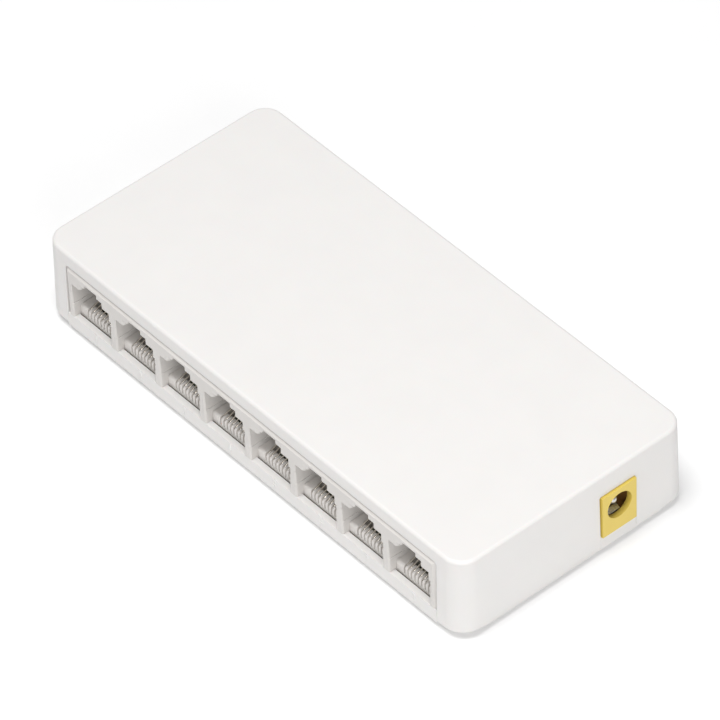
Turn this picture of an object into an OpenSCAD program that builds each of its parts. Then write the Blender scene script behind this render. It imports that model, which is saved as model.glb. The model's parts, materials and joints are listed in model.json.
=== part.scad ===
// Desktop network switch: a white two-part case with a row of eight sockets
// along one long side (-Y) and a power jack on one short side (+X).
// The origin is at the middle of the footprint, on the table; Z is up.

/* [Case] */
// Length of the top cover at its lower rim
case_l = 128.28; // [127:0.02:132]
// Width of the top cover at its lower rim
case_w = 60.47; // [60.4:0.01:64]
// Height of the top face above the table
case_h = 21.2; // [20.6:0.1:24]
// Height of the top cover's lower rim above the table
rim_z = 1.9; // [1.7:0.05:2.1]
// Inward slope of the side walls, in degrees from upright
draft = 1.233; // [0.5:0.001:1.5]
// Radius of the upright corners at the rim
corner_r = 4.95; // [4:0.05:6]
// Rounding of the edge between the walls and the top face
edge_r = 0.7; // [0.3:0.1:1.2]
// Wall thickness of the top cover
wall = 1.7; // [1.4:0.05:1.8]
// Thickness of the top cover's roof
roof = 1.8; // [1.2:0.1:2.2]

/* [Bottom cover] */
// Underside of the floor plate above the table
plate_z = 0.75; // [0.6:0.05:0.9]
// How far the floor plate sits inside the top cover's outline
plate_inset = 0.5; // [0.3:0.1:1]
// Corner radius of the floor plate
plate_r = 7.5; // [5:0.5:9]
// Top of the strip that closes the front below the sockets
strip_top = 4.7; // [4.6:0.05:4.8]
// Lower edge of that strip
strip_bottom = 1.4; // [1.2:0.05:1.6]
// Thickness of the strip at its top
strip_t = 1.46; // [1.2:0.02:1.5]
// Distance of the rubber feet from the middle, along and across
foot_place = [54, 21.5];
// Diameter of a rubber foot
foot_d = 9; // [7:0.5:10]
// Place of the case screws from the middle, along and across
screw_place = [40, 23.8];
// Place of the keyholes' round entries from the middle, along and across
keyhole_place = [25, 21];
// Radius of a keyhole's round entry
keyhole_r = 3.3; // [3:0.1:3.5]
// Width of a keyhole's slot
keyhole_slot_w = 3.3; // [3:0.1:3.6]

/* [Sockets] */
// Distance between the middles of two neighbouring sockets
pitch = 13.97; // [13.9:0.01:14.05]
// Y of the flat front face of the socket block
face_y = -30.22; // [-30.23:0.01:-30.1]
// Half width of the socket block
block_half = 56.75; // [56.5:0.05:56.8]
// Top of the socket block
block_top = 17.8; // [17.5:0.05:17.8]
// Depth of the socket block, front to back
block_depth = 16; // [15:0.5:17]
// Depth of a socket
socket_depth = 13.6; // [13:0.1:13.8]
// Chamfer along the top and the ends of the block's front
block_chamfer = 0.8; // [0.4:0.1:1]
// Distance between two neighbouring contact wires
wire_pitch = 1.016; // [1:0.002:1.03]
// Width and thickness of a contact wire
wire = 0.34; // [0.3:0.01:0.36]
// Angle at which the free part of a contact wire rises, in degrees
wire_rise = 21; // [18:1:22]
// Length of the free part of a contact wire
wire_free = 7.2; // [6:0.1:7.4]

/* [Power jack] */
// Y of the jack's axis
jack_y = 11.27; // [11.2:0.01:11.3]
// Width of the jack's body
jack_w = 9; // [8.8:0.1:9.2]
// Height of the jack's body
jack_h = 11; // [10.8:0.1:11.2]
// Length of the jack's body
jack_l = 14.2; // [14:0.1:14.6]
// Gap between the jack's underside and the circuit board
jack_lift = 0.3; // [0.25:0.05:0.35]
// Height of the jack's axis above its underside
jack_axis_h = 6.5; // [6.4:0.05:6.6]
// How far the jack's face stands out of the case wall
jack_proud = 0.5; // [0.3:0.05:0.6]
// Radius of the plug hole
jack_hole_r = 3.175; // [3.1:0.005:3.3]
// Depth to which a plug goes in
jack_hole_depth = 9.6; // [9:0.1:10]
// Radius of the centre pin
jack_pin_r = 1; // [0.9:0.05:1.05]
// How far the centre pin's tip lies behind the jack's face
jack_pin_back = 1.3; // [1:0.1:3]
// Thickness of the wall around the plug hole
jack_front_t = 1.4; // [1.2:0.1:1.4]

/* [Circuit board] */
// Thickness of the board
board_t = 1.2; // [1:0.1:1.2]
// Top surface of the board above the table
board_top = 4.35; // [4.3:0.05:4.4]
// Left, front, right and rear edges of the board
board_edges = [-57.2, -28.3, 57.2, 17.2];

/* [Hidden] */
$fn = 48;

white = [0.95, 0.95, 0.94];
off_white = [0.85, 0.83, 0.80];
steel = [0.75, 0.75, 0.76];
gold = [0.83, 0.72, 0.48];
black = [0.12, 0.12, 0.13];

// Small overlap that joins two shapes, and how far a cutting shape passes a face
eps = 0.01;
over = 1;
// Free play between parts that sit in each other
play = 0.05;
slope = tan(draft);
ports = 8;
wires = 8;
sides = [-1, 1];

// Half length and half width of the case's outline at height z
function half_x(z) = case_l / 2 - (z - rim_z) * slope;
function half_y(z) = case_w / 2 - (z - rim_z) * slope;
function port_x(i) = (i - (ports + 1) / 2) * pitch;
function wire_x(k) = (k - (wires + 1) / 2) * wire_pitch;
function arc(c, r, a0, a1, n) =
  [for (k = [0:n]) c + r * [cos(a0 + (a1 - a0) * k / n), sin(a0 + (a1 - a0) * k / n)]];

// ---------- shared shapes ----------

module rounded_square(l, w, r) {
  square([l, w - 2 * r], center = true);
  square([l - 2 * r, w], center = true);
  for (x = sides, y = sides) translate([x * (l / 2 - r), y * (w / 2 - r)]) circle(r);
}

// Draws an outline given as [y, z] points and gives it a length along X, about x = 0
module along_x(length) {
  rotate([90, 0, 90]) translate([0, 0, -length / 2]) linear_extrude(length) children();
}

// Draws an outline given as [x, z] points and gives it a length along Y, about y = 0
module along_y(length) {
  rotate([90, 0, 0]) translate([0, 0, -length / 2]) linear_extrude(length) children();
}

// Half of a drafted wall's profile: from the axis out to the wall, up the draft
// and over the rounded top edge. out is the distance to the wall at the rim.
function wall_profile(out, z0, z1, round_r) =
  let (centre = [out - (z1 - rim_z) * slope + round_r * slope - round_r / cos(draft),
                 z1 - round_r])
  concat([[0, z1], [0, z0], [out - (z0 - rim_z) * slope, z0]],
         arc(centre, round_r, draft, 90, 6));

function mirrored(points) = [for (p = points) [-p[0], p[1]]];

// Block with drafted walls, round upright corners and a rounded top edge
module drafted_block(l, w, r, z0, z1, round_r) {
  long_half = wall_profile(l / 2, z0, z1, round_r);
  short_half = wall_profile(w / 2, z0, z1, round_r);
  for (half = [long_half, mirrored(long_half)]) along_y(w - 2 * r) polygon(half);
  for (half = [short_half, mirrored(short_half)]) along_x(l - 2 * r) polygon(half);
  for (x = sides, y = sides)
    translate([x * (l / 2 - r), y * (w / 2 - r), 0])
      rotate_extrude() polygon(wall_profile(r, z0, z1, round_r));
}

// Upright box given by its lower and upper corners
module box(low, high) {
  translate(low) cube(high - low);
}

module cylinder_between(z0, z1, r) {
  translate([0, 0, z0]) cylinder(h = z1 - z0, r = r);
}

// ---------- case ----------

// Opening for the socket block
notch_half = 56.85;
notch_top = 17.88;
notch_r = 0.8;
// Left end, right end and top of the opening for the jack
jack_notch = [6.5, 15.95];
jack_notch_top = 15.75;
// Rounding where the walls meet the roof inside
roof_round = 0.4;
// Screw bosses and screws
boss_r = 3;
boss_bottom = 4.4;
screw_r = 1.1;
pilot_r = 1.12;
screw_top = 12;
pilot_room = 0.5;
// Posts that press on the circuit board
post_r = 1.6;
post_places = [[-52, 13], [40.5, 14], [-55, -5.5], [54.5, -6]];
// Bar with square channels that guide the lamps' light up to a thin skin in the roof
lamp_y = -11.6;
lamp_channel = 2.4;
lamp_bar = 4;
lamp_bar_half = 55;
lamp_bar_bottom = 6.5;
lamp_skin = 0.7;
lamp_offset = 2.2;
power_lamp_x = -52;
lamp_xs = concat([for (i = [1:ports]) port_x(i) + lamp_offset], [power_lamp_x]);

module top_cover() {
  color(white) difference() {
    union() {
      difference() {
        drafted_block(case_l, case_w, corner_r, rim_z, case_h, edge_r);
        drafted_block(case_l - 2 * wall, case_w - 2 * wall, corner_r - wall,
                      rim_z - over, case_h - roof, roof_round);
        port_notch();
        jack_notch_cut();
      }
      for (x = sides)
        translate([x * screw_place[0], screw_place[1], 0])
          cylinder_between(boss_bottom, case_h - roof + eps, boss_r);
      for (p = post_places)
        translate([p[0], p[1], 0]) cylinder_between(board_top + play, case_h - roof + eps, post_r);
      box([-lamp_bar_half, lamp_y - lamp_bar / 2, lamp_bar_bottom],
          [lamp_bar_half, lamp_y + lamp_bar / 2, case_h - roof + eps]);
    }
    for (x = sides)
      translate([x * screw_place[0], screw_place[1], 0])
        cylinder_between(boss_bottom - over, screw_top + pilot_room, pilot_r);
    for (x = lamp_xs)
      box([x - lamp_channel / 2, lamp_y - lamp_channel / 2, lamp_bar_bottom - over],
          [x + lamp_channel / 2, lamp_y + lamp_channel / 2, case_h - lamp_skin]);
  }
}

// Opening in the front wall for the socket block, with round upper corners
module port_notch() {
  translate([0, -case_w / 2, 0]) along_y(2 * (wall + over)) {
    translate([-notch_half, 0]) square([2 * notch_half, notch_top - notch_r]);
    translate([-notch_half + notch_r, 0]) square([2 * (notch_half - notch_r), notch_top]);
    for (x = sides) translate([x * (notch_half - notch_r), notch_top - notch_r]) circle(notch_r);
  }
}

module jack_notch_cut() {
  box([case_l / 2 - wall - over, jack_notch[0], 0],
      [case_l / 2 + over, jack_notch[1], jack_notch_top]);
}

plate_top = rim_z;
// Wall that keys the two halves together
lip_t = 1;
lip_gap = 0.15;
lip_top = 3.6;
lip_opening = 0.5;
// Standoffs and screw wells
standoff_r = 2;
standoff_places = concat(post_places, [[-20, -2], [20, -2]]);
well_r = 3.6;
well_bore_r = 2.7;
well_floor = 3.15;
screw_hole_r = 1.3;
foot_recess = 0.4;
foot_room = 0.2;
keyhole_slot_len = 4.6;
// Rows of air slots
vent_w = 1.6;
vent_l = 18;
vent_step = 3.4;
vent_count = 5;
vent_x = 32;
vent_y = -4;
// Shallow field for a label
label_size = [50, 24];
label_depth = 0.2;
label_r = 1.5;
// How far the front strip reaches inwards at the floor plate
strip_foot = 3;
// Tab below the jack
tab_bottom = 1.5;
tab_gaps = [0.02, 0.1];

module bottom_cover() {
  color(white) difference() {
    union() {
      translate([0, 0, plate_z])
        linear_extrude(plate_top - plate_z)
          rounded_square(case_l - 2 * plate_inset, case_w - 2 * plate_inset, plate_r);
      locating_lip();
      front_strip();
      jack_tab();
      for (p = standoff_places)
        translate([p[0], p[1], plate_top - eps])
          cylinder(h = board_top - board_t - plate_top + eps, r = standoff_r);
      for (x = sides)
        translate([x * screw_place[0], screw_place[1], 0])
          cylinder_between(plate_top - eps, boss_bottom - play, well_r);
    }
    for (x = sides)
      translate([x * screw_place[0], screw_place[1], 0]) {
        cylinder(h = well_floor, r = well_bore_r);
        cylinder(h = case_h, r = screw_hole_r);
      }
    for (x = sides, y = sides)
      translate([x * foot_place[0], y * foot_place[1], 0])
        cylinder(h = plate_z + foot_recess, r = foot_d / 2 + foot_room);
    for (x = sides) translate([x * keyhole_place[0], keyhole_place[1], 0]) keyhole();
    for (x = sides, k = [0:vent_count - 1])
      translate([x * (vent_x + k * vent_step), vent_y, 0]) vent();
    translate([0, vent_y, 0])
      linear_extrude(plate_z + label_depth) rounded_square(label_size[0], label_size[1], label_r);
  }
}

// Low wall just inside the top cover's walls, open behind the sockets and the jack
module locating_lip() {
  inner = wall + lip_gap;
  difference() {
    translate([0, 0, plate_top - eps])
      linear_extrude(lip_top - plate_top) difference() {
        rounded_square(case_l - 2 * inner, case_w - 2 * inner, corner_r - inner);
        rounded_square(case_l - 2 * (inner + lip_t), case_w - 2 * (inner + lip_t),
                       corner_r - inner - lip_t);
      }
    box([-notch_half - lip_opening, -case_w / 2, plate_top],
        [notch_half + lip_opening, -case_w / 4, case_h]);
    box([case_l / 4, jack_notch[0] - lip_opening, plate_top],
        [case_l / 2, jack_notch[1] + lip_opening, case_h]);
  }
}

// Strip flush with the front wall; its top shows as a ledge inside every socket
module front_strip() {
  along_x(2 * (notch_half - play))
    polygon([[-half_y(strip_bottom), strip_bottom], [-half_y(strip_top), strip_top],
             [-half_y(strip_top) + strip_t, strip_top],
             [-half_y(strip_top) + strip_t, plate_top - eps],
             [-half_y(strip_bottom) + strip_foot, plate_top - eps],
             [-half_y(strip_bottom) + strip_foot, strip_bottom]]);
}

// Tab that closes the jack's notch below the jack
module jack_tab() {
  top = jack_bottom - play;
  ends = jack_notch + [tab_gaps[0], -tab_gaps[1]];
  translate([0, (ends[0] + ends[1]) / 2, 0]) along_y(ends[1] - ends[0])
    polygon([[half_x(tab_bottom), tab_bottom], [half_x(top), top],
             [half_x(top) - wall, top], [half_x(top) - wall, tab_bottom]]);
}

module keyhole() {
  cylinder(h = case_h, r = keyhole_r);
  translate([0, keyhole_slot_len, 0]) cylinder(h = case_h, r = keyhole_slot_w / 2);
  box([-keyhole_slot_w / 2, 0, 0], [keyhole_slot_w / 2, keyhole_slot_len, case_h]);
}

module vent() {
  linear_extrude(plate_top + over) {
    square([vent_w, vent_l - vent_w], center = true);
    for (y = sides) translate([0, y * (vent_l - vent_w) / 2]) circle(vent_w / 2, $fn = 24);
  }
}

screw_head_r = 2.2;
screw_head_t = 1.3;
// Half length, width and depth of the cross in a screw's head
cross_half = 1.3;
cross_w = 0.6;
cross_depth = 0.75;

module case_screws() {
  color(steel) for (x = sides)
    translate([x * screw_place[0], screw_place[1], 0]) difference() {
      union() {
        cylinder_between(well_floor - screw_head_t, well_floor, screw_head_r);
        cylinder_between(well_floor - eps, screw_top, screw_r);
      }
      for (turn = [0, 90]) rotate([0, 0, turn])
        box([-cross_half, -cross_w / 2, 0],
            [cross_half, cross_w / 2, well_floor - screw_head_t + cross_depth]);
    }
}

// Height and width of the bevel round a foot's lower edge
foot_bevel = [0.35, 0.25];

module rubber_foot(x, y) {
  color([0.6, 0.6, 0.6])
    translate([x * foot_place[0], y * foot_place[1], 0]) {
      cylinder(h = foot_bevel[0], r1 = foot_d / 2 - foot_bevel[1], r2 = foot_d / 2);
      cylinder_between(foot_bevel[0], plate_z + foot_recess, foot_d / 2);
    }
}

// ---------- circuit board ----------

// Plated holes: side of a wire's hole, the two rows of them and the room round a blade
hole = 0.7;
tail_rows = [-20.6, -18.06];
blade_hole_room = 0.6;
// Pegs that hold the socket block to the board
peg_r = 0.9;
peg_y = -23;
peg_below = 0.4;
peg_above = 1;
peg_xs = [-3 * pitch, 3 * pitch];

function wire_row(k) = tail_rows[k % 2];

module circuit_board() {
  color([0.10, 0.36, 0.20]) difference() {
    box([board_edges[0], board_edges[1], board_top - board_t],
        [board_edges[2], board_edges[3], board_top]);
    for (i = [1:ports], k = [1:wires])
      translate([port_x(i) + wire_x(k), wire_row(k), board_top - board_t / 2])
        cube([hole, hole, 2 * board_t], center = true);
    for (x = peg_xs) translate([x, peg_y, 0]) cylinder(h = case_h, r = peg_r + 2 * play);
    for (t = jack_terminal_places)
      translate([t[0], t[1], board_top - board_t / 2])
        cube([t[2] + blade_hole_room, t[3] + blade_hole_room, 2 * board_t], center = true);
  }
}

// ---------- sockets ----------

// Half widths and tops of a socket's levels, from the rails up to the latch recess
rail_half = 5.95;
rail_top = 8.3;
main_half = 6.1;
shoulder_z = 11.9;
shoulder_half = 5.9;
main_top = 14;
latch_steps = [[3.25, 15.45], [1.95, 16.45]];
// Flare of the mouth at the lower levels and at each step of the latch recess
mouth_flare = 0.3;
step_flares = [0.5, 0.2];
// The block's front hangs over the strip as far back as this, and ends at this height
overhang_back = -28.6;
overhang_z = strip_top + 0.03;
corner_cut = 0.4;

// Front outline of one socket: open below, with a two-step latch recess above
module socket_outline() {
  for (s = concat([[rail_half, rail_top], [shoulder_half, main_top]], latch_steps))
    translate([-s[0], 0]) square([2 * s[0], s[1]]);
  translate([-main_half, rail_top - eps]) square([2 * main_half, shoulder_z - rail_top + eps]);
}

// Flared mouth of a socket between the heights z0 and z1
module socket_mouth(half, z0, z1, flare) {
  translate([0, face_y, z0]) linear_extrude(z1 - z0)
    polygon([[-half - flare, -eps], [-half, flare], [half, flare], [half + flare, -eps]]);
}

module port_housing() {
  back = face_y + block_depth;
  color(off_white) {
    difference() {
      box([-block_half, face_y, board_top], [block_half, back, block_top]);
      for (i = [1:ports]) translate([port_x(i), 0, 0]) {
        translate([0, face_y + socket_depth / 2 - over, 0])
          along_y(socket_depth + 2 * over) socket_outline();
        socket_mouth(rail_half, 0, rail_top, mouth_flare);
        socket_mouth(main_half, rail_top - eps, shoulder_z, mouth_flare);
        socket_mouth(latch_steps[0][0], main_top - eps, latch_steps[0][1], step_flares[0]);
        socket_mouth(latch_steps[1][0], latch_steps[0][1] - eps, latch_steps[1][1],
                     step_flares[1]);
      }
      box([-2 * block_half, face_y - over, 0], [2 * block_half, overhang_back, overhang_z]);
      along_x(3 * block_half)
        polygon([[face_y - eps, block_top - block_chamfer],
                 [face_y - eps, block_top + eps],
                 [face_y + block_chamfer, block_top + eps]]);
      for (side = sides) {
        translate([side * block_half, face_y, 0]) rotate([0, 0, 45])
          cube([block_chamfer * sqrt(2), block_chamfer * sqrt(2), 2 * case_h], center = true);
        translate([side * block_half, 0, block_top]) rotate([0, 45, 0])
          cube([corner_cut * sqrt(2), 4 * block_depth, corner_cut * sqrt(2)], center = true);
      }
    }
    for (x = peg_xs)
      translate([x, peg_y, 0])
        cylinder_between(board_top - board_t - peg_below, board_top + peg_above, peg_r);
  }
}

// Carrier: its outline, its open well and the slots of its comb
carrier_half = rail_half - 0.03;
carrier_front = -28.4;
carrier_back = -16.7;
carrier_bottom = 4.4;
nose_r = 0.6;
nose_z = 6.55;
nose_back = -25;
well_y = [-26.5, -21.6];
well_half = (wires - 1) / 2 * wire_pitch + 0.5;
carrier_back_top = 6;
slot_w = 0.42;
slot_back = -22;
slot_front_bottom = 4.85;
// Core that the wires bend round, and the wires' own lines
core_gap = 0.08;
wire_recess = 0.33;
wire_front = carrier_front + wire_recess;
core_front = wire_front + wire + core_gap;
core_r = 0.47;
bend_r = core_r + core_gap + wire / 2;
bend_c = [core_front + core_r, 6.2];
bend_end = 90 + wire_rise;
run_z = carrier_bottom + 0.12;
joint_gap = 0.04;
tail_room = 0.4;
hinge_at = bend_c + bend_r * [cos(bend_end), sin(bend_end)];
tail_below = 0.8;
tail_bottom = board_top - board_t - tail_below;

// One carrier: a comb with a round nose that spaces eight wires, an open well behind
// the comb, and a rear bar that holds the solder tails
module contact_carrier() {
  difference() {
    along_x(2 * carrier_half)
      polygon(concat([[carrier_front, carrier_bottom]],
                     arc([carrier_front + nose_r, nose_z], nose_r, 180, 90, 8),
                     [[nose_back, nose_z + nose_r], [carrier_back, carrier_back_top],
                      [carrier_back, carrier_bottom]]));
    for (k = [1:wires]) translate([wire_x(k), 0, 0]) {
      along_x(slot_w) difference() {
        polygon([[carrier_front - over, slot_front_bottom], [carrier_front - over, case_h],
                 [slot_back, case_h], [slot_back, 0], [wire_front - joint_gap, 0],
                 [wire_front - joint_gap, slot_front_bottom]]);
        polygon(concat([[core_front, run_z + wire + core_gap]],
                       arc(bend_c, core_r, 180, 90, 6),
                       [[slot_back + over, bend_c[1]],
                        [slot_back + over, run_z + wire + core_gap]]));
      }
      box([-slot_w / 2, slot_back - 2 * play, 0],
          [slot_w / 2, wire_row(k) + tail_room, run_z + wire + tail_room]);
    }
    box([-well_half, well_y[0], 0], [well_half, well_y[1], case_h]);
  }
}

module contact_carriers() {
  color(off_white) for (i = [1:ports]) translate([port_x(i), 0, 0]) contact_carrier();
}

// Fixed part of one wire: solder tail, run under the carrier, front leg and bend
module contact_lead(tail_y) {
  outer = bend_r + wire / 2;
  inner = bend_r - wire / 2;
  stop = bend_end + joint_gap / bend_r * 180 / PI;
  along_x(wire)
    polygon(concat([[wire_front, run_z]],
                   arc(bend_c, outer, 180, stop, 5),
                   arc(bend_c, inner, stop, 180, 5),
                   [[wire_front + wire, run_z + wire], [tail_y + wire / 2, run_z + wire],
                    [tail_y + wire / 2, tail_bottom], [tail_y - wire / 2, tail_bottom],
                    [tail_y - wire / 2, run_z]]));
}

module contact_leads() {
  color(gold) for (i = [1:ports], k = [1:wires])
    translate([port_x(i) + wire_x(k), 0, 0]) contact_lead(wire_row(k));
}

// Free part of the eight wires of socket i, which a plug presses down
module contact_springs(i) {
  color(gold) for (k = [1:wires])
    translate([port_x(i) + wire_x(k), hinge_at[0], hinge_at[1]]) rotate([wire_rise, 0, 0])
      box([-wire / 2, joint_gap, -wire / 2], [wire / 2, wire_free, wire / 2]);
}

// ---------- power jack ----------

jack_bottom = board_top + jack_lift;
jack_axis_z = jack_bottom + jack_axis_h;
jack_face = half_x(jack_axis_z) + jack_proud;
jack_back = jack_face - jack_l;
// Ribs under the jack that stand on the board, by their distance from its back
rib_w = 1;
rib_places = [2, 5.5];
// Leaf spring, by distance and height from its hinge
leaf_hinge = [jack_back + 5.1, jack_axis_z - 3.7];
leaf_half = 1.5;
leaf_t = 0.3;
leaf_gap = 0.1;
leaf_tip = 7.5;
leaf_peak = 6.4;
leaf_rise = 1.1;
leaf_drop = 0.55;
leaf_room = leaf_half + 0.3;
// Three terminals with blades through the board
blade = 0.5;
terminal_room = 0.25;
pin_terminal_x = jack_back + 0.8;
pin_terminal_top = jack_axis_z + 1.6;
leaf_terminal_x = leaf_hinge[0] - 0.35;
leaf_terminal_top = leaf_hinge[1] + 0.1;
switch_terminal_x = jack_back + 4.5;
switch_terminal_y = jack_y - 3.6;
switch_terminal_w = 2.2;
switch_terminal_top = jack_axis_z - 1;
// Middle X, middle Y, size along X and size along Y of the three terminals
jack_terminal_places = [
  [pin_terminal_x, jack_y, blade, 2 * leaf_half],
  [leaf_terminal_x, jack_y, leaf_t, 2 * leaf_half],
  [switch_terminal_x, switch_terminal_y, switch_terminal_w, leaf_t]
];
// Half width and half height of the hollow behind the jack's front wall
jack_hollow_half = 3.5;
jack_hollow_up = 3.55;

module jack_housing() {
  color([0.90, 0.79, 0.38]) difference() {
    union() {
      box([jack_back, jack_y - jack_w / 2, jack_bottom],
          [jack_face, jack_y + jack_w / 2, jack_bottom + jack_h]);
      for (x = rib_places, side = sides)
        translate([jack_back + x, jack_y + side * (jack_w - rib_w) / 2, board_top])
          translate([0, -rib_w / 2, 0]) cube([rib_w, rib_w, jack_lift + eps]);
    }
    translate([jack_face - jack_hole_depth, jack_y, jack_axis_z]) rotate([0, 90, 0])
      cylinder(h = jack_hole_depth + over, r = jack_hole_r);
    translate([jack_back - over, jack_y, jack_axis_z]) rotate([0, 90, 0])
      cylinder(h = jack_l, r = jack_pin_r + play / 2);
    box([jack_face - jack_hole_depth, jack_y - jack_hollow_half, jack_axis_z - jack_hollow_up],
        [jack_face - jack_front_t, jack_y + jack_hollow_half, jack_axis_z + jack_hollow_up]);
    // room for the leaf and its terminal, below the plug hole
    box([leaf_terminal_x - terminal_room, jack_y - leaf_room, 0],
        [jack_face - jack_front_t, jack_y + leaf_room, jack_axis_z]);
    // open rear for the pin's terminal, and a slot for the switch terminal
    box([jack_back - over, jack_y - leaf_room, 0],
        [pin_terminal_x + blade / 2 + play, jack_y + leaf_room, pin_terminal_top + 8 * play]);
    translate([switch_terminal_x, switch_terminal_y, 0])
      linear_extrude(jack_axis_z)
        square([switch_terminal_w + 4 * play, 2 * terminal_room], center = true);
  }
}

module jack_center_pin() {
  tip = jack_face - jack_pin_back;
  color(steel) translate([0, jack_y, jack_axis_z]) {
    translate([pin_terminal_x + blade / 2, 0, 0]) rotate([0, 90, 0])
      cylinder(h = tip - jack_pin_r - pin_terminal_x - blade / 2, r = jack_pin_r);
    translate([tip - jack_pin_r, 0, 0]) sphere(jack_pin_r);
  }
}

// Line of the leaf from its hinge over the peak to the bent-down tip
leaf_line = [[leaf_gap, 0], [leaf_peak, leaf_rise], [leaf_tip, leaf_rise - leaf_drop]];

function reversed(list) = [for (n = [len(list) - 1:-1:0]) list[n]];

// Free leaf that presses on the plug's barrel from below
module jack_leaf_spring() {
  color(steel) translate([leaf_hinge[0], jack_y, leaf_hinge[1]])
    along_y(2 * leaf_half)
      polygon([for (side = sides, p = side < 0 ? leaf_line : reversed(leaf_line))
                 [p[0], p[1] + side * leaf_t / 2]]);
}

module terminal(place, top) {
  color(steel)
    box([place[0] - place[2] / 2, place[1] - place[3] / 2, tail_bottom],
        [place[0] + place[2] / 2, place[1] + place[3] / 2, top]);
}

// ---------- parts on the board ----------

// Switch chip and its legs
chip_at = [-9, 9.6];
chip_w = 10;
chip_t = 1.4;
chip_lift = 0.1;
lead_count = 12;
lead_step = 0.7;
lead_w = 0.24;
lead_t = 0.15;
lead_top = 0.7;
lead_reach = [0.3, 0.45, 1];
// Row of four double transformers and their pins
transformers = 4;
transformer_size = [19, 9.6, 5.6];
transformer_y = -3.2;
transformer_lift = 0.25;
transformer_pin = [0.4, 1.2, 0.25];
transformer_pin_step = 1.8;
transformer_pins_a_side = 10;

// Block with its middle at the point at, standing lift above the board
module on_board(at, size, lift = 0) {
  translate([at[0] - size[0] / 2, at[1] - size[1] / 2, board_top + lift]) cube(size);
}

function transformer_x(i) = (i - (transformers + 1) / 2) * 2 * pitch;

module switch_chip() {
  color(black) on_board(chip_at, [chip_w, chip_w, chip_t], chip_lift);
}

// Gull-wing legs on all four sides of the switch chip
module switch_chip_leads() {
  color(steel) for (turn = [0:90:270], k = [0:lead_count - 1])
    translate([chip_at[0], chip_at[1], board_top]) rotate([0, 0, turn])
      translate([chip_w / 2, (k - (lead_count - 1) / 2) * lead_step, 0]) {
        box([0, -lead_w / 2, lead_top - lead_t], [lead_reach[1], lead_w / 2, lead_top]);
        box([lead_reach[0], -lead_w / 2, 0], [lead_reach[1], lead_w / 2, lead_top]);
        box([lead_reach[0], -lead_w / 2, 0], [lead_reach[2], lead_w / 2, lead_t]);
      }
}

module transformer(i) {
  color(black) on_board([transformer_x(i), transformer_y], transformer_size, transformer_lift);
}

module transformer_pins() {
  row = (transformer_size[1] + transformer_pin[1]) / 2;
  color(steel)
    for (i = [1:transformers], side = sides, k = [0:transformer_pins_a_side - 1])
      on_board([transformer_x(i) + (k - (transformer_pins_a_side - 1) / 2) * transformer_pin_step,
                transformer_y + side * row], transformer_pin);
}

// Length, width and height of the crystal's foot and of its can
crystal_at = [-24.5, 11];
crystal_foot = [11.4, 4.9, 0.5];
crystal_can = [10.4, 4, 3.5];

module crystal() {
  color(steel) translate([crystal_at[0], crystal_at[1], board_top])
    for (size = [crystal_foot, crystal_can]) linear_extrude(size[2]) stadium(size[0], size[1]);
}

module stadium(l, w) {
  square([l - w, w], center = true);
  for (x = sides) translate([x * (l - w) / 2, 0]) circle(w / 2);
}

can_r = 3.15;
can_base = 2 * can_r + 0.3;
can_base_t = 0.8;
can_base_cut = 1.6;

// Upright capacitor can on a square base with two cut corners
module electrolytic(at, h) {
  difference() {
    on_board(at, [can_base, can_base, can_base_t]);
    for (y = sides)
      translate([at[0] + can_base / 2, at[1] + y * can_base / 2, board_top]) rotate([0, 0, 45])
        cube([can_base_cut, can_base_cut, 3 * can_base_t], center = true);
  }
  translate([at[0], at[1], board_top]) cylinder_between(can_base_t - eps, h, can_r);
}

module input_capacitor() { color(steel) electrolytic([32, 10.5], 7.7); }
module output_capacitor() { color(steel) electrolytic([17.5, 11.5], 5.8); }

// Ferrite bobbin: square foot, core and wider top, each up to its own height
inductor_at = [24.7, 10.8];
inductor_foot = [6, 6, 0.8];
inductor_core = [2.2, 2.6];
inductor_top = [2.9, 3.2];

module power_inductor() {
  color([0.25, 0.24, 0.24]) {
    on_board(inductor_at, inductor_foot);
    translate([inductor_at[0], inductor_at[1], board_top]) {
      cylinder_between(inductor_foot[2] - eps, inductor_core[1], inductor_core[0]);
      cylinder_between(inductor_core[1] - eps, inductor_top[1], inductor_top[0]);
    }
  }
}

small_chip_size = [5, 4, 1.5];
small_leg = [0.4, 1, 0.25];
small_leg_in = 0.15;
small_leg_step = 1.27;
small_legs = 4;

// Small chip with short legs along its two long sides
module small_chip(at) {
  on_board(at, small_chip_size, chip_lift);
  for (side = sides, k = [0:small_legs - 1])
    on_board([at[0] + (k - (small_legs - 1) / 2) * small_leg_step,
              at[1] + side * (small_chip_size[1] / 2 + small_leg[1] / 2 - small_leg_in)],
             small_leg);
}

module regulator_chip() { color(black) small_chip([40.6, 7.6]); }
module memory_chip() { color(black) small_chip([6.5, 12]); }

// Rows of small parts: place of the first, step to the next, number of parts and their size
module chip_row(first, step, count, size) {
  for (k = [0:count - 1]) on_board(first + k * step, size);
}

port_resistor = [0.8, 0.5, 0.35];
row_resistor = [0.8, 1.6, 0.45];
row_capacitor = [0.8, 1.6, 0.7];
flat_capacitor = [1.6, 0.8, 0.7];

module chip_resistors() {
  color(black) {
    for (i = [1:ports]) chip_row([port_x(i) - 2.6, -9.6], [1.5, 0], 4, port_resistor);
    chip_row([-44, 6], [1.8, 0], 6, row_resistor);
  }
}

module chip_capacitors() {
  color([0.66, 0.55, 0.42]) {
    chip_row([-44, 10], [1.8, 0], 5, row_capacitor);
    chip_row([-1.4, 6], [0, 2.2], 4, flat_capacitor);
    chip_row([crystal_at[0] - 4, 6.4], [8, 0], 2, flat_capacitor);
  }
}

module input_diode() { color(black) on_board([45.6, 14.8], [4.4, 2.6, 2.2]); }
module input_fuse() { color([0.25, 0.45, 0.25]) on_board([45.8, 4.6], [4.6, 3.2, 0.9]); }

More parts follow.
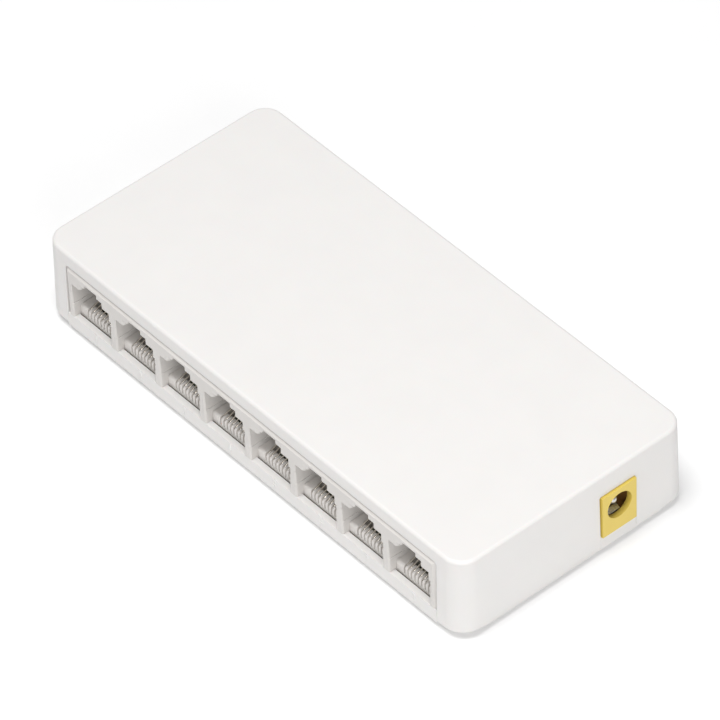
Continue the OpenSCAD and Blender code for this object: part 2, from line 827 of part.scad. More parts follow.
// Base and lens of a lamp
lamp_base = [1.6, 0.8, 0.3];
lamp_lens = [1, 0.8, 0.8];

module status_lamps() {
  color([0.9, 0.95, 0.85]) for (x = lamp_xs, size = [lamp_base, lamp_lens])
    on_board([x, lamp_y], size);
}

top_cover();
bottom_cover();
circuit_board();
port_housing();
contact_carriers();
contact_leads();
contact_springs(1);  // contact_springs_1
contact_springs(2);  // contact_springs_2
contact_springs(3);  // contact_springs_3
contact_springs(4);  // contact_springs_4
contact_springs(5);  // contact_springs_5
contact_springs(6);  // contact_springs_6
contact_springs(7);  // contact_springs_7
contact_springs(8);  // contact_springs_8
jack_housing();
jack_center_pin();
jack_leaf_spring();
terminal(jack_terminal_places[0], pin_terminal_top);  // jack_pin_terminal
terminal(jack_terminal_places[1], leaf_terminal_top);  // jack_leaf_terminal
terminal(jack_terminal_places[2], switch_terminal_top);  // jack_switch_terminal
switch_chip();
switch_chip_leads();
transformer(1);  // transformer_1
transformer(2);  // transformer_2
transformer(3);  // transformer_3
transformer(4);  // transformer_4
transformer_pins();
crystal();
input_capacitor();
output_capacitor();
power_inductor();
regulator_chip();
memory_chip();
chip_resistors();
chip_capacitors();
input_diode();
input_fuse();
status_lamps();
case_screws();
rubber_foot(-1, -1);  // rubber_foot_1
rubber_foot(1, -1);  // rubber_foot_2
rubber_foot(1, 1);  // rubber_foot_3
rubber_foot(-1, 1);  // rubber_foot_4
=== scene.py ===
"""Looks of the desktop network switch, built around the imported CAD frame.

Lengths are given in millimetres and turned into metres by MM. The model's frame has the
power jack at +X, the sockets at -Y and the table at z = 0.
"""

import json
import math

import bmesh
import bpy
from mathutils import Matrix, Vector


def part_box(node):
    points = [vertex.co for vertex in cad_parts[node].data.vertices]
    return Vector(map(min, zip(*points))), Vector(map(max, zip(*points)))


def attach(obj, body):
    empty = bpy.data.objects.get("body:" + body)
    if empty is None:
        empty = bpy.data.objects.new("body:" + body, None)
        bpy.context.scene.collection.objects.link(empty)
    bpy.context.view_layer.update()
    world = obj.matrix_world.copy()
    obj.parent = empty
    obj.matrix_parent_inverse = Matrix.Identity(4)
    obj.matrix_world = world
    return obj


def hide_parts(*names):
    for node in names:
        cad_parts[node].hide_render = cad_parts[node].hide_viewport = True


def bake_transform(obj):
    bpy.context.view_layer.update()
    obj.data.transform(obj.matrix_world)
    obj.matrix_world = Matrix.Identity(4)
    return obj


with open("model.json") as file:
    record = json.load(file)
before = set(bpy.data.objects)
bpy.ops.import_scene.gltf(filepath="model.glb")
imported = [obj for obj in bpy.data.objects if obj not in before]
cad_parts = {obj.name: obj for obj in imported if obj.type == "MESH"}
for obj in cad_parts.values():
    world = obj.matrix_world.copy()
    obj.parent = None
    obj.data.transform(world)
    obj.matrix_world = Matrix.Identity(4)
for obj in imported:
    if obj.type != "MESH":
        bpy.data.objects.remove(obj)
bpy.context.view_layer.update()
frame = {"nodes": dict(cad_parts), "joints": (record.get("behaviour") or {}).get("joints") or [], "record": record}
MM = 0.001
ROOT = "case"

# ---------- dimensions ----------

DRAFT = math.radians(1.233)
SLOPE = math.tan(DRAFT)
COVER_LOW, COVER_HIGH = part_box("top_cover")
RIM_Z = COVER_LOW.z / MM
TOP_Z = COVER_HIGH.z / MM
HALF_L = COVER_HIGH.x / MM
HALF_W = COVER_HIGH.y / MM
CORNER_R = 4.95
WALL = 1.7
ROOF = 1.8
TOP_ROUND = 0.75
RIM_ROUND = 0.18
INNER_ROUND = 0.4
CORNER_STEPS = 16
ROUND_STEPS = 8
INNER_STEPS = 4
RIM_STEPS = 3
SHELL_EDGE = 0.08
QUARTER = math.pi / 2

PORTS = 8
WIRES = 8
PITCH = 13.97
WIRE_PITCH = 1.016
NOTCH_HALF = 56.85
NOTCH_TOP = 17.84
NOTCH_R = 0.8
NOTCH_REACH = 3.0
JACK_NOTCH = (6.5, 15.95)
JACK_NOTCH_TOP = 15.75
JACK_NOTCH_R = 0.35
# Front wall and hollow of the jack: they also set where the painted shade inside the jack begins and fades.
JACK_WALL = 1.4
JACK_HOLLOW = 3.65
JACK_HOLLOW_FADE = 0.2

BOSS_R = 3
BOSS_BOTTOM = 4.4
PILOT_R = 1.12
POST_R = 1.6
POST_PLACES = ((-52, 13), (40.5, 14), (-55, -5.5), (54.5, -6))
LAMP_BAR = (55, 2)
LAMP_BAR_BOTTOM = 6.5
LAMP_CHANNEL = 1.2
LAMP_SKIN = 0.7
LAMP_OFFSET = 2.2
LAMP_BASE_HALF = 0.8
ROOF_BITE = 0.4
PILOT_ROOM = 0.5
BOARD_PLAY = 0.05
OVERCUT = 1
POST_STEPS = 32

WIRE_RISE = math.radians(21)
BEND_R = 0.72
WIRE_HALF_W = 0.18
WIRE_HALF_T = 0.165
WIRE_CORNER = 0.7
WIRE_STEPS = 12
WIRE_FREE = 7.2
FREE_STEPS = 6
BEND_STEPS = 10
TIP_LENGTH = 0.35
TIP_DROP = 0.06
LEG_SPLIT_Z = 5.3
TAIL_ROWS = (-18.06, -20.6)
TAIL_BOTTOM = 2.35
RUN_Z = 4.69
LEAD_BEND = 0.3
LEAD_STEPS = 4

DIGIT_SIZE = 2.75
DIGIT_BASE_Z = 2.35
DIGIT_OFFSET = 1.1
DIGIT_HEIGHT = 0.07
DIGIT_EDGE = 0.03

BOARD_BLOCK = 4.5
TRACK_STEP = 0.9
TRACK_EDGE = (0.16, 0.22)
ACROSS_SHARE = 0.45
POURED_SHARE = 0.75

FLOOR_HALF = 3000
WELD_GAP = 0.002
FLAT_ANGLE = math.radians(0.6)

# ---------- small helpers ----------


def port_x(i):
    """X of the middle of socket i, counted from 1 at the left."""
    return (i - (PORTS + 1) / 2) * PITCH


def wire_x(k):
    """X of wire k of a socket, counted from 1, from the socket's middle."""
    return (k - (WIRES + 1) / 2) * WIRE_PITCH


def node_box(node):
    """A CAD node's lowest and highest corners at rest, in millimetres."""
    low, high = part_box(node)
    return low / MM, high / MM


def to_object(bm, name, material, body=ROOT, smooth=True):
    """Turns a mesh in millimetres into an object that rides on a body, if one is named."""
    bmesh.ops.recalc_face_normals(bm, faces=bm.faces)
    bmesh.ops.scale(bm, vec=(MM, MM, MM), verts=bm.verts)
    mesh = bpy.data.meshes.new(name)
    bm.to_mesh(mesh)
    bm.free()
    if smooth:
        mesh.shade_smooth()
    piece = bpy.data.objects.new(name, mesh)
    bpy.context.scene.collection.objects.link(piece)
    mesh.materials.append(material)
    if body:
        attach(piece, body)
    return piece


def loft(bm, rings):
    """Skins a list of closed rings and closes both ends."""
    rows = [[bm.verts.new(p) for p in ring] for ring in rings]
    for low, high in zip(rows, rows[1:]):
        count = len(low)
        for a in range(count):
            b = (a + 1) % count
            bm.faces.new((low[a], low[b], high[b], high[a]))
    bm.faces.new(rows[0])
    bm.faces.new(rows[-1])


def apply_modifiers(piece):
    """Replaces a piece's mesh by what its modifiers make of it."""
    graph = bpy.context.evaluated_depsgraph_get()
    mesh = bpy.data.meshes.new_from_object(piece.evaluated_get(graph))
    piece.modifiers.clear()
    piece.data = mesh


def cut(piece, cutter, operation="DIFFERENCE"):
    """Cuts one closed piece out of another, or joins the two."""
    step = piece.modifiers.new("cut", "BOOLEAN")
    step.operation = operation
    step.solver = "EXACT"
    step.object = cutter
    apply_modifiers(piece)
    bpy.data.objects.remove(cutter)


def soften(piece, width, angle=35, segments=2):
    """Rounds edges sharper than angle and keeps the flat faces flat."""
    edges = piece.modifiers.new("edges", "BEVEL")
    edges.width = width * MM
    edges.segments = segments
    edges.limit_method = "ANGLE"
    edges.angle_limit = math.radians(angle)
    edges.use_clamp_overlap = True
    flat = piece.modifiers.new("flat", "WEIGHTED_NORMAL")
    flat.weight = 80
    flat.keep_sharp = False


def clean(piece):
    """Joins split corners and melts the triangles of flat faces together."""
    weld = piece.modifiers.new("weld", "WELD")
    weld.merge_threshold = WELD_GAP * MM
    melt = piece.modifiers.new("melt", "DECIMATE")
    melt.decimate_type = "DISSOLVE"
    melt.angle_limit = FLAT_ANGLE


# ---------- materials ----------


class Shader:
    """A Principled material with small helpers for its procedural detail."""

    def __init__(self, name, metallic=0.0, ior=1.5, coat=0.0, subsurface=0.0):
        self.material = bpy.data.materials.new(name)
        self.material.use_nodes = True
        self.tree = self.material.node_tree
        self.tree.nodes.clear()
        out = self.tree.nodes.new("ShaderNodeOutputMaterial")
        self.main = self.tree.nodes.new("ShaderNodeBsdfPrincipled")
        self.main.inputs["Metallic"].default_value = metallic
        self.main.inputs["IOR"].default_value = ior
        self.main.inputs["Coat Weight"].default_value = coat
        self.main.inputs["Subsurface Weight"].default_value = subsurface
        self.main.inputs["Subsurface Scale"].default_value = 1.5 * MM
        self.link(self.main.outputs[0], out.inputs["Surface"])
        where = self.tree.nodes.new("ShaderNodeTexCoord")
        self.place = where.outputs["Object"]
        self.normal = where.outputs["Normal"]

    def link(self, a, b):
        self.tree.links.new(a, b)

    def node(self, kind, **values):
        """A new node with the named inputs set to constants."""
        made = self.tree.nodes.new(kind)
        for key, value in values.items():
            made.inputs[key.replace("_", " ")].default_value = value
        return made

    def noise(self, size, detail=2.0, roughness=0.5, stretch=(1, 1, 1)):
        """Noise whose features are about size millimetres across, as a value around 0.5."""
        place = self.tree.nodes.new("ShaderNodeMapping")
        place.inputs["Scale"].default_value = stretch
        self.link(self.place, place.inputs["Vector"])
        made = self.node("ShaderNodeTexNoise",
                         Scale=1 / (size * MM), Detail=detail, Roughness=roughness)
        self.link(place.outputs[0], made.inputs["Vector"])
        return made.outputs["Fac"]

    def remap(self, value, start, end, low, high):
        """Maps start..end onto low..high and clamps what lies outside."""
        made = self.tree.nodes.new("ShaderNodeMapRange")
        made.inputs["From Min"].default_value = start
        made.inputs["From Max"].default_value = end
        made.inputs["To Min"].default_value = low
        made.inputs["To Max"].default_value = high
        self.link(value, made.inputs["Value"])
        return made.outputs[0]

    def axes(self, vector):
        """The X, Y and Z outputs of a vector."""
        made = self.tree.nodes.new("ShaderNodeSeparateXYZ")
        self.link(vector, made.inputs[0])
        return made.outputs

    def between(self, value, low, high):
        """Maps the usual spread of a noise value onto a range."""
        return self.remap(value, 0.3, 0.7, low, high)

    def step(self, value, start, end):
        """0 below start, 1 above end and a ramp in between."""
        return self.remap(value, start, end, 0, 1)

    def node_math(self, operation, a, b=0.0):
        """A maths node over two values, each a number or a socket."""
        made = self.tree.nodes.new("ShaderNodeMath")
        made.operation = operation
        for target, value in zip(made.inputs, (a, b)):
            if isinstance(value, (int, float)):
                target.default_value = value
            else:
                self.link(value, target)
        return made.outputs[0]

    def mix(self, share, a, b):
        """Mixes two colours, each a tuple or a socket."""
        made = self.tree.nodes.new("ShaderNodeMix")
        made.data_type = "RGBA"
        self.link(share, made.inputs["Factor"])
        for key, value in (("A", a), ("B", b)):
            target = [s for s in made.inputs if s.name == key and s.type == "RGBA"][0]
            if isinstance(value, tuple):
                target.default_value = (*value, 1)
            else:
                self.link(value, target)
        return [s for s in made.outputs if s.type == "RGBA"][0]

    def colour(self, socket):
        self.link(socket, self.main.inputs["Base Color"])

    def roughness(self, socket):
        self.link(socket, self.main.inputs["Roughness"])

    def bump(self, height, strength, depth):
        """Adds relief; depth is in millimetres."""
        made = self.node("ShaderNodeBump", Strength=strength, Distance=depth * MM)
        self.link(height, made.inputs["Height"])
        self.link(made.outputs[0], self.main.inputs["Normal"])


def moulded(name, light, dark, rough, grain=0.25, depth=0.012, subsurface=0.0):
    """Moulded plastic: faint flow clouds in the colour, a fine spark-eroded grain."""
    s = Shader(name, ior=1.46, subsurface=subsurface)
    clouds = s.between(s.noise(9, detail=3), 0, 1)
    s.colour(s.mix(clouds, dark, light))
    s.roughness(s.between(s.noise(3, detail=4), rough - 0.05, rough + 0.05))
    s.bump(s.noise(grain, detail=3, roughness=0.6), 0.35, depth)
    return s.material


def plated(name, light, dark, rough, streak=(1, 1, 1)):
    """Plated or drawn metal: fine streaks in gloss and tone."""
    s = Shader(name, metallic=1.0)
    tone = s.between(s.noise(0.8, detail=3, stretch=streak), 0, 1)
    s.colour(s.mix(tone, dark, light))
    s.roughness(s.between(s.noise(0.25, detail=2, stretch=streak), rough - 0.07, rough + 0.08))
    s.bump(s.noise(0.12, detail=2, stretch=streak), 0.25, 0.004)
    return s.material


def board_green():
    """Solder mask over straight tracks laid block by block; tan glass fibre at cut edges."""
    s = Shader("board_green", coat=0.4)
    block = s.tree.nodes.new("ShaderNodeVectorMath")
    block.operation = "SNAP"
    block.inputs[1].default_value = (BOARD_BLOCK * MM,) * 3
    s.link(s.place, block.inputs[0])
    white = s.tree.nodes.new("ShaderNodeTexWhiteNoise")
    s.link(block.outputs[0], white.inputs["Vector"])
    chance = white.outputs["Value"]
    place = s.axes(s.place)
    along_y, along_x = [
        s.step(s.node_math("PINGPONG", place[axis], TRACK_STEP / 2 * MM),
               TRACK_EDGE[0] * MM, TRACK_EDGE[1] * MM)
        for axis in ("X", "Y")]
    across = s.step(chance, ACROSS_SHARE, ACROSS_SHARE + 0.01)
    poured = s.step(chance, POURED_SHARE, POURED_SHARE + 0.01)
    one_way = s.node_math("MULTIPLY", along_y, s.node_math("SUBTRACT", 1.0, across))
    other_way = s.node_math("MULTIPLY", along_x, across)
    track = s.node_math("MAXIMUM", s.node_math("ADD", one_way, other_way), poured)
    mask = s.mix(track, (0.14, 0.16, 0.09), (0.08, 0.095, 0.055))
    strands = s.between(s.noise(0.3, stretch=(1, 1, 6)), 0, 1)
    fibre = s.mix(strands, (0.30, 0.26, 0.18), (0.24, 0.20, 0.13))
    up = s.node_math("ABSOLUTE", s.axes(s.normal)["Z"])
    s.colour(s.mix(s.step(up, 0.4, 0.8), fibre, mask))
    s.roughness(s.between(s.noise(1.5), 0.28, 0.4))
    s.bump(track, 0.3, 0.02)
    return s.material


def clear_lamp():
    """Clear lens moulding over a small yellow die."""
    s = Shader("lamp_clear", ior=1.5, coat=0.3)
    clouds = s.between(s.noise(0.5), 0, 1)
    s.colour(s.mix(clouds, (0.75, 0.72, 0.42), (0.88, 0.88, 0.80)))
    s.roughness(s.between(s.noise(0.6), 0.12, 0.22))
    s.main.inputs["Transmission Weight"].default_value = 0.35
    return s.material


def jack_plastic():
    """Yellow moulding whose hollow behind the front wall is darkened by painted shade."""
    s = Shader("jack_yellow", ior=1.46)
    clouds = s.between(s.noise(9, detail=3), 0, 1)
    yellow = s.mix(clouds, (0.75, 0.56, 0.10), (0.79, 0.60, 0.12))
    low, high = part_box("jack_housing")
    pin_low, pin_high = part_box("jack_center_pin")
    axis_y = (low.y + high.y) / 2
    axis_z = (pin_low.z + pin_high.z) / 2
    place = s.axes(s.place)
    depth = s.node_math("SUBTRACT", high.x, place["X"])
    aside = s.node_math("ABSOLUTE", s.node_math("SUBTRACT", place["Y"], axis_y))
    above = s.node_math("ABSOLUTE", s.node_math("SUBTRACT", place["Z"], axis_z))
    outer = s.node_math("MAXIMUM", aside, above)
    # Painted shade: past the front wall and inside the hollow, the yellow turns dark brown. It stands in for the
    # shade deep inside the jack.
    deep = s.step(depth, JACK_WALL * 0.85 * MM, JACK_WALL * 1.15 * MM)
    outside = s.step(outer, JACK_HOLLOW * MM, (JACK_HOLLOW + JACK_HOLLOW_FADE) * MM)
    painted_hollow_shade = s.node_math("MULTIPLY", deep, s.node_math("SUBTRACT", 1.0, outside))
    s.colour(s.mix(painted_hollow_shade, yellow, (0.24, 0.12, 0.035)))
    s.roughness(s.between(s.noise(3, detail=4), 0.31, 0.41))
    s.bump(s.noise(0.25, detail=3, roughness=0.6), 0.35, 0.008)
    return s.material


def floor_white():
    """The matt studio floor, lifted a little so that it stays near white."""
    s = Shader("floor_white", ior=1.3)
    s.main.inputs["Emission Color"].default_value = (1, 1, 1, 1)
    s.main.inputs["Emission Strength"].default_value = 0.2
    clouds = s.between(s.noise(60, detail=4), 0, 1)
    s.colour(s.mix(clouds, (0.74, 0.74, 0.74), (0.77, 0.77, 0.77)))
    s.roughness(s.between(s.noise(25), 0.85, 0.95))
    return s.material


CASE_WHITE = moulded("case_white", (0.800, 0.784, 0.768), (0.788, 0.772, 0.757), 0.42,
                     subsurface=0.03)
SOCKET_PLASTIC = moulded("socket_plastic", (0.70, 0.675, 0.65), (0.67, 0.645, 0.62), 0.38,
                         depth=0.006)
# Carrier plastic: a natural tone lighter than the socket plastic. Part of that lift is painted light, making up
# for the shade that the recessed carrier front gets under the block's roof.
CARRIER_PLASTIC = moulded("carrier_plastic", (0.83, 0.80, 0.77), (0.80, 0.77, 0.74), 0.4,
                          depth=0.006)
JACK_YELLOW = jack_plastic()
FOOT_RUBBER = moulded("foot_rubber", (0.30, 0.30, 0.30), (0.26, 0.26, 0.26), 0.75,
                      grain=0.4, depth=0.03)
CHIP_BLACK = moulded("chip_black", (0.030, 0.030, 0.033), (0.020, 0.020, 0.022), 0.55,
                     grain=0.15)
FERRITE = moulded("ferrite_grey", (0.075, 0.072, 0.070), (0.05, 0.05, 0.05), 0.7, grain=0.2)
CERAMIC = moulded("ceramic_tan", (0.42, 0.27, 0.14), (0.34, 0.21, 0.11), 0.45, grain=0.2)
FUSE_GREEN = moulded("fuse_green", (0.09, 0.24, 0.08), (0.07, 0.19, 0.06), 0.5)
CONTACT_METAL = plated("contact_metal", (0.86, 0.82, 0.75), (0.62, 0.57, 0.50), 0.20)
TINNED = plated("tinned_metal", (0.78, 0.78, 0.78), (0.62, 0.62, 0.62), 0.32)
CAN = plated("can_aluminium", (0.84, 0.84, 0.85), (0.74, 0.74, 0.75), 0.3, streak=(1, 1, 0.2))
BOARD = board_green()
LAMP = clear_lamp()

SLOT_MATERIALS = {
    "case_white": CASE_WHITE,
    "socket_plastic": SOCKET_PLASTIC,
    "jack_yellow": JACK_YELLOW,
    "contact_metal": CONTACT_METAL,
    "tinned_metal": TINNED,
    "board_green": BOARD,
    "chip_black": CHIP_BLACK,
    "can_aluminium": CAN,
    "ferrite_grey": FERRITE,
    "ceramic_tan": CERAMIC,
    "fuse_green": FUSE_GREEN,
    "lamp_clear": LAMP,
    "foot_rubber": FOOT_RUBBER,
}
NODE_MATERIALS = {"contact_carriers": CARRIER_PLASTIC}

# ---------- top cover ----------


def case_ring(z, inset):
    """Outline of the drafted case at height z, moved inwards by inset."""
    radius = CORNER_R - inset - (z - RIM_Z) * SLOPE
    centre_x = HALF_L - CORNER_R
    centre_y = HALF_W - CORNER_R
    ring = []
    for quarter, (sx, sy) in enumerate(((1, 1), (-1, 1), (-1, -1), (1, -1))):
        for s in range(CORNER_STEPS + 1):
            turn = QUARTER * (quarter + s / CORNER_STEPS)
            x = sx * centre_x + radius * math.cos(turn)
            y = sy * centre_y + radius * math.sin(turn)
            ring.append((x, y, z))
    return ring


def arc_steps(radius, steps):
    """Offsets (inwards, upwards) along a quarter round that ends an upright wall."""
    turns = [QUARTER * s / steps for s in range(steps + 1)]
    return [(radius * (1 - math.cos(t)), radius * math.sin(t)) for t in turns]


def notch_cutter(name, half, top, radius, centre, direction):
    """A block with round upper corners that stands across a wall and cuts a notch in it."""
    outline = [(-half, 0), (half, 0)]
    for side, first in ((1, 0), (-1, QUARTER)):
        for s in range(ROUND_STEPS + 1):
            turn = first + QUARTER * s / ROUND_STEPS
            outline.append((side * (half - radius) + radius * math.cos(turn),
                            top - radius + radius * math.sin(turn)))
    rings = []
    for depth in (-NOTCH_REACH, NOTCH_REACH):
        if direction == "Y":
            rings.append([(centre[0] + u, centre[1] + depth, v) for u, v in outline])
        else:
            rings.append([(centre[0] + depth, centre[1] + u, v) for u, v in outline])
    bm = bmesh.new()
    loft(bm, rings)
    return to_object(bm, name, CASE_WHITE, body=None, smooth=False)


def add_box(bm, low, high):
    """Adds a closed box between two corners."""
    ring = [(low[0], low[1]), (high[0], low[1]), (high[0], high[1]), (low[0], high[1])]
    loft(bm, [[(x, y, z) for x, y in ring] for z in (low[2], high[2])])


def add_post(bm, x, y, z0, z1, radius):
    """Adds a closed upright cylinder."""
    turns = [2 * math.pi * k / POST_STEPS for k in range(POST_STEPS)]
    loft(bm, [[(x + radius * math.cos(t), y + radius * math.sin(t), z) for t in turns]
              for z in (z0, z1)])


def inner_ribs(shell):
    """Screw bosses, board posts and the bar of lamp channels under the roof."""
    into_roof = TOP_Z - ROOF + ROOF_BITE
    post_bottom = node_box("circuit_board")[1].z + BOARD_PLAY
    lamp_low, lamp_high = node_box("status_lamps")
    lamp_y = (lamp_low.y + lamp_high.y) / 2
    lamps = [port_x(i) + LAMP_OFFSET for i in range(1, PORTS + 1)]
    lamps.append(lamp_low.x + LAMP_BASE_HALF)
    screw_low, screw_high = node_box("case_screws")
    screw_y = (screw_low.y + screw_high.y) / 2
    screw_x = screw_high.x - (screw_high.y - screw_low.y) / 2
    pilot_top = screw_high.z + PILOT_ROOM
    solid = bmesh.new()
    hollow = bmesh.new()
    for x in (-screw_x, screw_x):
        add_post(solid, x, screw_y, BOSS_BOTTOM, into_roof, BOSS_R)
        add_post(hollow, x, screw_y, BOSS_BOTTOM - OVERCUT, pilot_top, PILOT_R)
    for x, y in POST_PLACES:
        add_post(solid, x, y, post_bottom, into_roof, POST_R)
    half_x, half_y = LAMP_BAR
    add_box(solid, (-half_x, lamp_y - half_y, LAMP_BAR_BOTTOM),
            (half_x, lamp_y + half_y, into_roof))
    for x in lamps:
        add_box(hollow, (x - LAMP_CHANNEL, lamp_y - LAMP_CHANNEL, LAMP_BAR_BOTTOM - OVERCUT),
                (x + LAMP_CHANNEL, lamp_y + LAMP_CHANNEL, TOP_Z - LAMP_SKIN))
    cut(shell, to_object(solid, "ribs", CASE_WHITE, body=None, smooth=False), "UNION")
    cut(shell, to_object(hollow, "bores", CASE_WHITE, body=None, smooth=False))


def top_cover():
    """The white shell: drafted walls, a rounded top edge and notches for block and jack."""
    ceiling = TOP_Z - ROOF
    rings = [case_ring(ceiling - INNER_ROUND + up, WALL + inward)
             for inward, up in reversed(arc_steps(INNER_ROUND, INNER_STEPS))]
    rings.append(case_ring(RIM_Z, WALL))
    rings += [case_ring(RIM_Z + RIM_ROUND - up, inward)
              for inward, up in reversed(arc_steps(RIM_ROUND, RIM_STEPS))]
    rings += [case_ring(TOP_Z - TOP_ROUND + up, inward)
              for inward, up in arc_steps(TOP_ROUND, ROUND_STEPS)]
    bm = bmesh.new()
    loft(bm, rings)
    shell = to_object(bm, "top_cover_shell", CASE_WHITE, body=None)
    jack_middle = (JACK_NOTCH[0] + JACK_NOTCH[1]) / 2
    jack_half = (JACK_NOTCH[1] - JACK_NOTCH[0]) / 2
    cut(shell, notch_cutter("port_cut", NOTCH_HALF, NOTCH_TOP, NOTCH_R, (0, -HALF_W), "Y"))
    cut(shell, notch_cutter("jack_cut", jack_half, JACK_NOTCH_TOP, JACK_NOTCH_R,
                            (HALF_L, jack_middle), "X"))
    inner_ribs(shell)
    shell.data.shade_smooth()
    soften(shell, SHELL_EDGE, angle=40, segments=3)
    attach(shell, ROOT)
    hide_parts("top_cover")


top_cover()

# ---------- contact wires ----------

HINGES = {j["child"]: Vector(j["pos_m"]) / MM for j in frame["joints"]}


def wire_section():
    """Cross-section of a wire: a square with well rounded corners."""
    points = []
    for s in range(WIRE_STEPS):
        turn = 2 * math.pi * (s + 0.5) / WIRE_STEPS
        c, d = math.cos(turn), math.sin(turn)
        points.append((math.copysign(abs(c) ** WIRE_CORNER, c) * WIRE_HALF_W,
                       math.copysign(abs(d) ** WIRE_CORNER, d) * WIRE_HALF_T))
    return points


def sweep(bm, x, path):
    """Runs the wire's section along a path of (y, z) points in the plane at x."""
    rings = []
    for n, (y, z) in enumerate(path):
        before = path[max(n - 1, 0)]
        after = path[min(n + 1, len(path) - 1)]
        along = Vector((after[0] - before[0], after[1] - before[1])).normalized()
        rings.append([(x + a, y - along.y * b, z + along.x * b) for a, b in wire_section()])
    loft(bm, rings)


def arc_path(centre, radius, start, end, steps):
    """Points (y, z) along an arc."""
    turns = [start + (end - start) * s / steps for s in range(steps + 1)]
    return [(centre[0] + radius * math.cos(t), centre[1] + radius * math.sin(t)) for t in turns]


def bend_centre(hinge):
    """Middle (y, z) of the bend that ends at the hinge."""
    end = QUARTER + WIRE_RISE
    return hinge.y - BEND_R * math.cos(end), hinge.z - BEND_R * math.sin(end)


def lead_path(tail_y, hinge):
    """Solder tail, run under the carrier and front leg of one wire."""
    front_y = bend_centre(hinge)[0] - BEND_R
    path = [(tail_y, TAIL_BOTTOM)]
    path += arc_path((tail_y - LEAD_BEND, RUN_Z - LEAD_BEND), LEAD_BEND, 0, QUARTER, LEAD_STEPS)
    path += arc_path((front_y + LEAD_BEND, RUN_Z + LEAD_BEND), LEAD_BEND,
                     3 * QUARTER, 2 * QUARTER, LEAD_STEPS)
    path.append((front_y, LEG_SPLIT_Z))
    return path


def spring_path(hinge):
    """Top of the front leg, bend over the carrier's nose and free end of one wire."""
    centre = bend_centre(hinge)
    path = [(centre[0] - BEND_R, LEG_SPLIT_Z)]
    path += arc_path(centre, BEND_R, math.pi, QUARTER + WIRE_RISE, BEND_STEPS)
    along = (math.cos(WIRE_RISE), math.sin(WIRE_RISE))
    for s in range(1, FREE_STEPS + 1):
        d = (WIRE_FREE - TIP_LENGTH) * s / FREE_STEPS
        path.append((hinge.y + along[0] * d, hinge.z + along[1] * d))
    path.append((hinge.y + along[0] * WIRE_FREE, hinge.z + along[1] * WIRE_FREE - TIP_DROP))
    return path


def contact_wires():
    """Eight free wires in each socket and one piece with the fixed rest of all of them."""
    leads = bmesh.new()
    for i in range(1, PORTS + 1):
        body = f"contacts_{i}"
        hinge = HINGES[body]
        springs = bmesh.new()
        for k in range(1, WIRES + 1):
            x = port_x(i) + wire_x(k)
            sweep(leads, x, lead_path(TAIL_ROWS[(k + 1) % 2], hinge))
            sweep(springs, x, spring_path(hinge))
        piece = to_object(springs, f"contact_wires_{i}", CONTACT_METAL, body=None)
        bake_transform(piece)
        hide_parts(f"contact_springs_{i}")
    piece = to_object(leads, "contact_lead_wires", CONTACT_METAL)
    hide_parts("contact_leads")


contact_wires()

# ---------- raised digits ----------


def digit(number):
    """A raised port number on the strip below socket number."""
    curve = bpy.data.curves.new(f"digit_{number}", "FONT")
    curve.body = str(number)
    curve.size = DIGIT_SIZE * MM
    curve.align_x = "CENTER"
    curve.extrude = DIGIT_HEIGHT * MM
    curve.bevel_depth = DIGIT_EDGE * MM
    curve.bevel_resolution = 1
    source = bpy.data.objects.new("digit_source", curve)
    bpy.context.scene.collection.objects.link(source)
    wall_y = -(HALF_W - (DIGIT_BASE_Z - RIM_Z) * SLOPE)
    place = Vector((port_x(number) + DIGIT_OFFSET, wall_y, DIGIT_BASE_Z)) * MM
    source.matrix_world = Matrix.Translation(place) @ Matrix.Rotation(QUARTER - DRAFT, 4, "X")
    bpy.context.view_layer.update()
    graph = bpy.context.evaluated_depsgraph_get()
    mesh = bpy.data.meshes.new_from_object(source.evaluated_get(graph))
    mesh.transform(source.matrix_world)
    bpy.data.objects.remove(source)
    piece = bpy.data.objects.new(f"port_digit_{number}", mesh)
    bpy.context.scene.collection.objects.link(piece)
    mesh.materials.clear()
    mesh.materials.append(CASE_WHITE)
    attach(piece, ROOT)


for port in range(1, PORTS + 1):
    digit(port)

# ---------- finish of the CAD nodes that stay ----------

EDGE_WIDTHS = {
    "bottom_cover": 0.15,
    "port_housing": 0.14,
    "jack_housing": 0.3,
    "contact_carriers": 0.05,
    **{f"rubber_foot_{foot}": 0.25 for foot in range(1, 5)},
    "circuit_board": 0.05,
    "case_screws": 0.12,
    "jack_leaf_spring": 0.06,
    "crystal": 0.1,
    "switch_chip_leads": 0.02,
    "regulator_chip": 0.03,
    "memory_chip": 0.03,
    "input_capacitor": 0.3,
    "output_capacitor": 0.3,
    "power_inductor": 0.2,
}
EDGE_DEFAULT = 0.08


def finish_cad_nodes():
    """Gives every CAD node that still shows its material and softened edges."""
    slots = {s["node"]: s["material_slot"] for s in frame["record"]["subparts"]}
    for name, piece in frame["nodes"].items():
        if piece.hide_render:
            continue
        piece.data.materials.clear()
        piece.data.materials.append(NODE_MATERIALS.get(name, SLOT_MATERIALS[slots[name]]))
        clean(piece)
        soften(piece, EDGE_WIDTHS.get(name, EDGE_DEFAULT))


finish_cad_nodes()

# ---------- stage, light and camera ----------


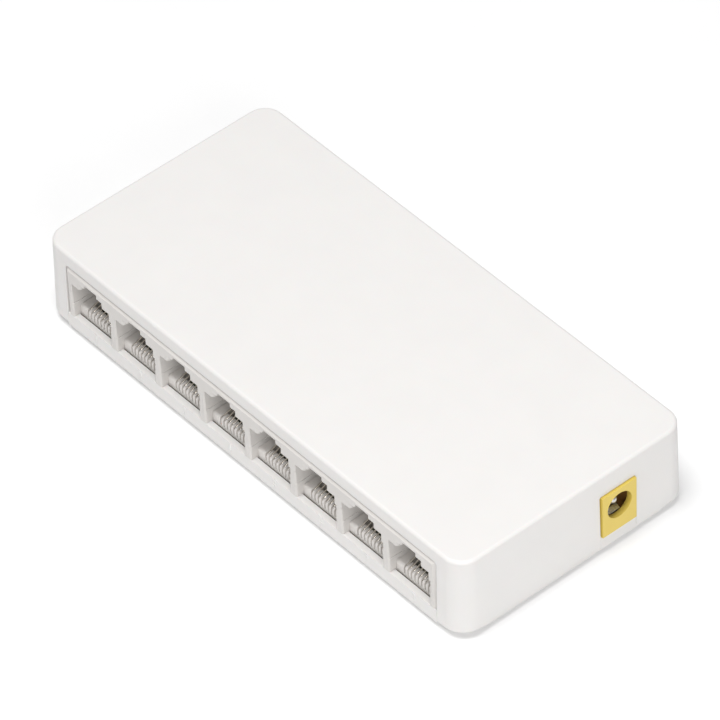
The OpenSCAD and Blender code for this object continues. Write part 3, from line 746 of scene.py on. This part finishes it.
def stage_floor():
    """A plain floor, six metres each way."""
    bm = bmesh.new()
    bmesh.ops.create_grid(bm, x_segments=8, y_segments=8, size=FLOOR_HALF)
    to_object(bm, "floor", floor_white(), body=None)


def area_light(name, place, aim, size, power):
    """A square white lamp, size metres wide, that points at aim."""
    data = bpy.data.lights.new(name, "AREA")
    data.shape = "RECTANGLE"
    data.size = size
    data.size_y = size
    data.energy = power
    lamp = bpy.data.objects.new(name, data)
    bpy.context.scene.collection.objects.link(lamp)
    lamp.location = place
    lamp.rotation_mode = "QUATERNION"
    lamp.rotation_quaternion = (Vector(aim) - Vector(place)).to_track_quat("-Z", "Y")


def studio():
    """A dim white surround, a large lamp overhead and a small one for the side with the jack."""
    world = bpy.data.worlds.new("studio")
    bpy.context.scene.world = world
    world.use_nodes = True
    surround = world.node_tree.nodes["Background"]
    surround.inputs["Color"].default_value = (1, 1, 1, 1)
    surround.inputs["Strength"].default_value = 0.2
    area_light("key", place=(0, -0.20, 1.27), aim=(0, 0, 0.01), size=0.7, power=14.8)
    area_light("side", place=(0.50, -0.25, 0.30), aim=(0.06, 0, 0.01), size=0.35, power=1.35)


def camera():
    """The camera stands far off to the front right, above, slightly rolled."""
    azimuth, elevation = math.radians(50.821), math.radians(44.579)
    roll = math.radians(-2.52)
    distance, across, upwards = 1345.46, 0.606, -8.440
    back = Vector((math.sin(azimuth) * math.cos(elevation),
                   -math.cos(azimuth) * math.cos(elevation),
                   math.sin(elevation)))
    right = (-back).cross(Vector((0, 0, 1))).normalized()
    up = right.cross(-back)
    right, up = (right * math.cos(roll) + up * math.sin(roll),
                 up * math.cos(roll) - right * math.sin(roll))
    data = bpy.data.cameras.new("camera")
    data.sensor_width = 36
    data.lens = 333.13
    data.clip_start = 0.05
    data.clip_end = 20
    view = bpy.data.objects.new("camera", data)
    bpy.context.scene.collection.objects.link(view)
    turn = Matrix((right, up, back)).transposed().to_4x4()
    place = (back * distance - right * across - up * upwards) * MM
    view.matrix_world = Matrix.Translation(place) @ turn
    bpy.context.scene.camera = view


stage_floor()
studio()
camera()
bpy.context.scene.view_settings.view_transform = "Standard"
